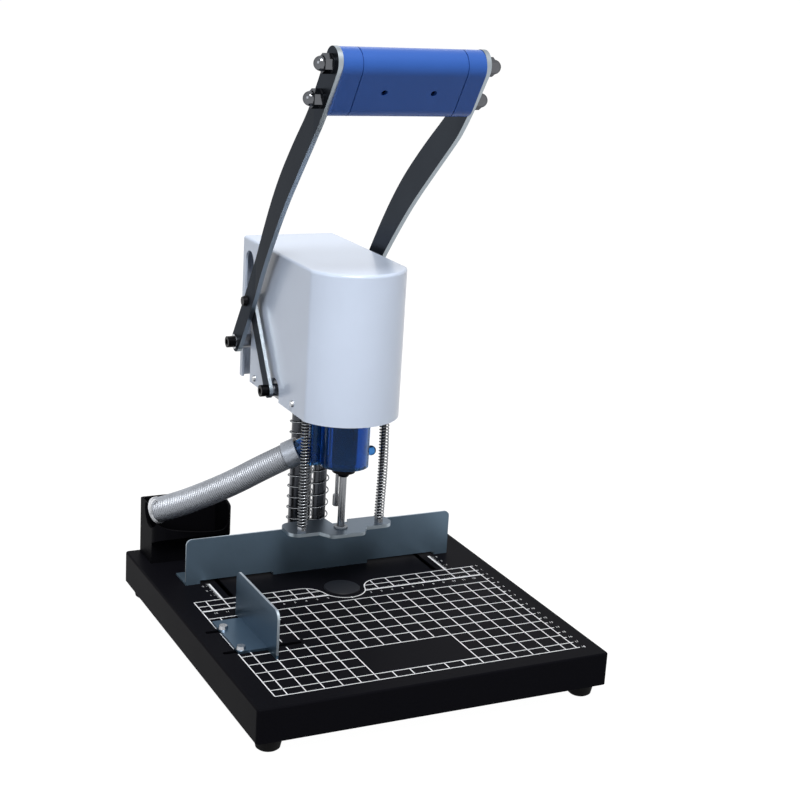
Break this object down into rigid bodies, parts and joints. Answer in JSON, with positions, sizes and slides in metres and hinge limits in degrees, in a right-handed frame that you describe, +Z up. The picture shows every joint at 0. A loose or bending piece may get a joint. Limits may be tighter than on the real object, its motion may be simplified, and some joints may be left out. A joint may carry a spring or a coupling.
{
  "type": "paper drill",
  "caption": "Desk paper drill: a hand lever drives a sprung head down two columns, clamping and boring a sheet stack against a fence and side gauge, chips sucked to a bin.",
  "frame": {"origin": "on the floor, at the middle of the bounding box in plan", "axes": "+Z up, +X to the operator's right along the fence, +Y to the back away from the operator; the lever swings forward, towards -Y"},
  "size_m": [0.3, 0.3372, 0.4995],
  "materials": {
    "painted_base": "semi-gloss black enamel",
    "zinc_sheet": "bluish zinc-plated sheet steel",
    "bright_steel": "ground steel",
    "dark_steel": "dark grey enamel",
    "black_oxide": "black oxide",
    "zinc_hardware": "zinc-plated hardware",
    "chrome_hardware": "polished",
    "spring_wire": "bright drawn wire",
    "bronze": "sintered bronze",
    "cast_alloy": "machined alloy",
    "cover_enamel": "pale blue-white enamel, satin",
    "blue_grip": "blue moulded plastic",
    "blue_clear": "translucent deep blue plastic",
    "black_plastic": "black moulded plastic",
    "rubber_foot": "matte black rubber",
    "pad_plastic": "grey cutting plastic",
    "hose_grey": "silver-grey flexible hose",
    "white_nylon": "white nylon"
  },
  "bodies": {
    "base": {"base_housing": "painted_base", "floor_plate": "painted_base", "feet": "rubber_foot", "foot_bolts": "zinc_hardware", "foot_nuts": "zinc_hardware", "column_block": "bright_steel", "cutting_pad": "pad_plastic", "main_column": "bright_steel", "guide_column": "bright_steel", "column_nuts": "zinc_hardware", "spring_seats": "zinc_hardware", "yoke": "cast_alloy", "fulcrum_screws": "black_oxide", "fulcrum_washers": "zinc_hardware", "chip_bin": "black_plastic", "main_spring": "spring_wire", "guide_spring": "spring_wire", "hose": "hose_grey", "cable_tie": "white_nylon"},
    "fence": {"fence": "zinc_sheet", "fence_screws": "black_oxide", "fence_nuts": "zinc_hardware"},
    "side_gauge": {"side_gauge": "zinc_sheet", "gauge_screws": "zinc_hardware", "gauge_nuts": "zinc_hardware"},
    "head": {"hose_cuff": "hose_grey", "head_cover": "cover_enamel", "cover_screws": "zinc_hardware", "carriage": "cast_alloy", "main_bush": "bronze", "guide_sleeve": "bronze", "motor": "black_oxide", "spindle_housing": "cast_alloy", "spindle_bearings": "bright_steel", "suction_chamber": "blue_clear", "stop_rod": "bright_steel", "micro_switch": "black_plastic", "link_studs": "bright_steel", "press_springs": "spring_wire"},
    "spindle": {"spindle": "bright_steel", "collet_nut": "black_oxide", "drill_bit": "bright_steel"},
    "press_plate": {"press_plate": "zinc_sheet", "bit_guide": "white_nylon", "plate_rods": "bright_steel", "rod_nuts": "zinc_hardware"},
    "lever": {"lever_arm_left": "dark_steel", "lever_arm_right": "dark_steel", "grip": "blue_grip", "grip_caps": "blue_grip", "grip_screws": "black_oxide", "tie_rods": "bright_steel", "acorn_nuts": "chrome_hardware", "grip_washers": "chrome_hardware", "link_pins": "black_oxide"},
    "links": {"link_bar_left": "dark_steel", "link_bar_right": "dark_steel", "link_screws": "black_oxide"}
  },
  "joints": [
    {"name": "head_slide", "type": "slide", "parent": "base", "child": "head", "axis": [0, 0, -1], "range_m": [0, 0.0466], "stiffness_N_per_m": 1200, "springref_m": -0.08, "deforming": ["main_spring", "guide_spring", "hose"]},
    {"name": "lever_hinge", "type": "hinge", "parent": "base", "child": "lever", "pos_m": [0, 0.1513, 0.227], "axis": [1, 0, 0], "range_deg": [0, 55.1]},
    {"name": "link_hinge", "type": "hinge", "parent": "lever", "child": "links", "pos_m": [0, 0.1293, 0.2685], "axis": [1, 0, 0], "range_deg": [-36.1, 0]},
    {"name": "spindle_spin", "type": "hinge", "parent": "head", "child": "spindle", "pos_m": [0, 0.0283, 0.14], "axis": [0, 0, 1], "continuous": true},
    {"name": "plate_slide", "type": "slide", "parent": "head", "child": "press_plate", "axis": [0, 0, 1], "range_m": [0, 0.04], "stiffness_N_per_m": 250, "springref_m": -0.03, "deforming": ["press_springs"]},
    {"name": "fence_slide", "type": "slide", "parent": "base", "child": "fence", "axis": [0, -1, 0], "range_m": [0, 0.012]},
    {"name": "side_gauge_slide", "type": "slide", "parent": "base", "child": "side_gauge", "axis": [1, 0, 0], "range_m": [-0.012, 0.045]}
  ],
  "couplings": [
    {"joint": "lever_hinge", "follows": "head_slide", "rad_per_m": 20.599},
    {"joint": "link_hinge", "follows": "head_slide", "rad_per_m": -13.483}
  ]
}
